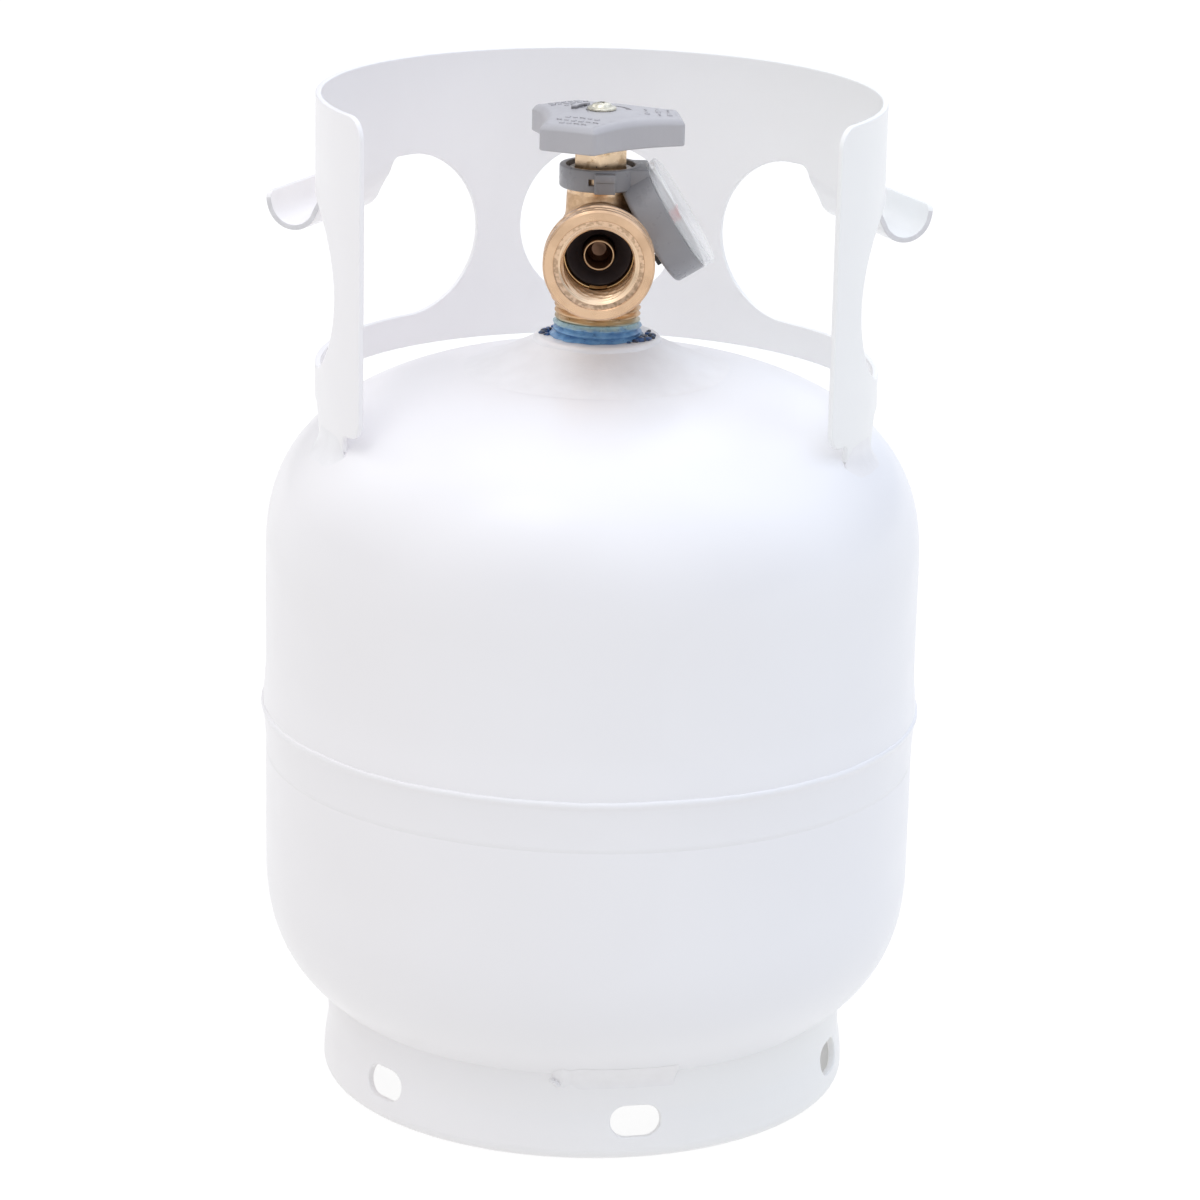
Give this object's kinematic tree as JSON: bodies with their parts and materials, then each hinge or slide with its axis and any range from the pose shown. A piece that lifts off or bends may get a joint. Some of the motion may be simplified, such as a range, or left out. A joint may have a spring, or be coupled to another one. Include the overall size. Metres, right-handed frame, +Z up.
{
  "type": "propane tank",
  "caption": "Small refillable steel propane cylinder with carrying collar, foot ring, brass service valve, overfill stop and clip-on dial level gauge.",
  "frame": {"origin": "centre of the foot ring on the floor", "axes": "+Z up along the cylinder's axis; the valve's outlet and the collar's open side face -Y"},
  "size_m": [0.2078, 0.2066, 0.3133],
  "materials": {
    "white_paint": "satin white powder coat",
    "bare_steel": "bare steel",
    "nickel": "dull nickel plate",
    "brass": "machined and forged brass",
    "sealant": "cured blue thread sealant",
    "black_rubber": "nitrile rubber",
    "wheel_plastic": "fine moulded texture",
    "gauge_plastic": "smooth moulded",
    "clear_plastic": "clear polycarbonate",
    "dial_card": "printed",
    "pointer_red": "gloss",
    "black_plastic": "moulded",
    "float_foam": "closed-cell foam",
    "magnet": "sintered magnet",
    "zinc_plate": "yellow zinc plate"
  },
  "bodies": {
    "tank": {"upper_shell": "white_paint", "lower_shell": "white_paint", "girth_weld": "white_paint", "valve_boss": "white_paint", "boss_weld": "white_paint", "collar": "white_paint", "hook_right": "white_paint", "hook_left": "white_paint", "collar_weld_right": "white_paint", "collar_weld_rear": "white_paint", "collar_weld_left": "white_paint", "foot_ring": "white_paint", "foot_weld_front": "white_paint", "foot_weld_right": "white_paint", "foot_weld_left": "white_paint", "valve_body": "brass", "thread_sealant": "sealant", "outlet_retainer": "brass", "outlet_seal": "black_rubber", "check_spring": "bare_steel", "bonnet_washer": "nickel", "bonnet_nut": "brass", "relief_spring": "bare_steel", "relief_cap": "brass", "dip_tube": "brass", "float_housing": "black_plastic", "float_pin": "bare_steel", "gauge_housing": "gauge_plastic", "gauge_latch": "gauge_plastic", "gauge_pad": "black_plastic", "gauge_dial": "dial_card", "gauge_lens": "clear_plastic"},
    "spindle": {"valve_stem": "brass", "stem_o_ring": "black_rubber", "handwheel": "wheel_plastic", "handwheel_screw": "zinc_plate"},
    "lower_spindle": {"lower_spindle": "brass", "seat_disc": "black_rubber"},
    "check": {"check_nozzle": "brass"},
    "relief": {"relief_poppet": "brass", "relief_seal": "black_rubber"},
    "bleed": {"bleed_screw": "brass"},
    "float": {"float_arm": "black_plastic", "float": "float_foam"},
    "piston": {"stop_piston": "black_plastic", "piston_seal": "black_rubber"},
    "rod": {"gauge_rod": "bare_steel", "rod_magnet": "magnet"},
    "pointer": {"gauge_pointer": "pointer_red", "pointer_shaft": "bare_steel", "pointer_magnet": "magnet"}
  },
  "joints": [
    {"name": "handwheel_turn", "type": "hinge", "parent": "tank", "child": "spindle", "pos_m": [0, 0, 0.3], "axis": [0, 0, 1], "range_deg": [0, 540]},
    {"name": "seat_lift", "type": "slide", "parent": "spindle", "child": "lower_spindle", "axis": [0, 0, 1], "range_m": [0, 0.003]},
    {"name": "check_press", "type": "slide", "parent": "tank", "child": "check", "axis": [0, 1, 0], "range_m": [0, 0.0025], "stiffness_N_per_m": 500, "springref_m": -0.003, "deforming": ["check_spring"]},
    {"name": "relief_lift", "type": "slide", "parent": "tank", "child": "relief", "axis": [0, 1, 0], "range_m": [0, 0.002], "stiffness_N_per_m": 1500, "springref_m": -0.004, "deforming": ["relief_spring"]},
    {"name": "bleed_turn", "type": "hinge", "parent": "tank", "child": "bleed", "pos_m": [0, 0, 0.249], "axis": [-0.6561, 0.7547, 0], "range_deg": [0, 360]},
    {"name": "float_swing", "type": "hinge", "parent": "tank", "child": "float", "pos_m": [0, 0, 0.188], "axis": [0, 1, 0], "range_deg": [0, 60]},
    {"name": "piston_lift", "type": "slide", "parent": "tank", "child": "piston", "axis": [0, 0, 1], "range_m": [0, 0.006]},
    {"name": "rod_drop", "type": "slide", "parent": "tank", "child": "rod", "axis": [0, 0, -1], "range_m": [0, 0.0065]},
    {"name": "pointer_turn", "type": "hinge", "parent": "tank", "child": "pointer", "pos_m": [0.014, 0, 0.271], "axis": [-0.848, 0, -0.5299], "range_deg": [0, 180]}
  ],
  "couplings": [
    {"joint": "seat_lift", "follows": "handwheel_turn", "m_per_rad": 0.000318},
    {"joint": "piston_lift", "follows": "float_swing", "m_per_rad": 0.005729},
    {"joint": "rod_drop", "follows": "float_swing", "m_per_rad": 0.006206},
    {"joint": "pointer_turn", "follows": "float_swing", "ratio": 2.99}
  ]
}
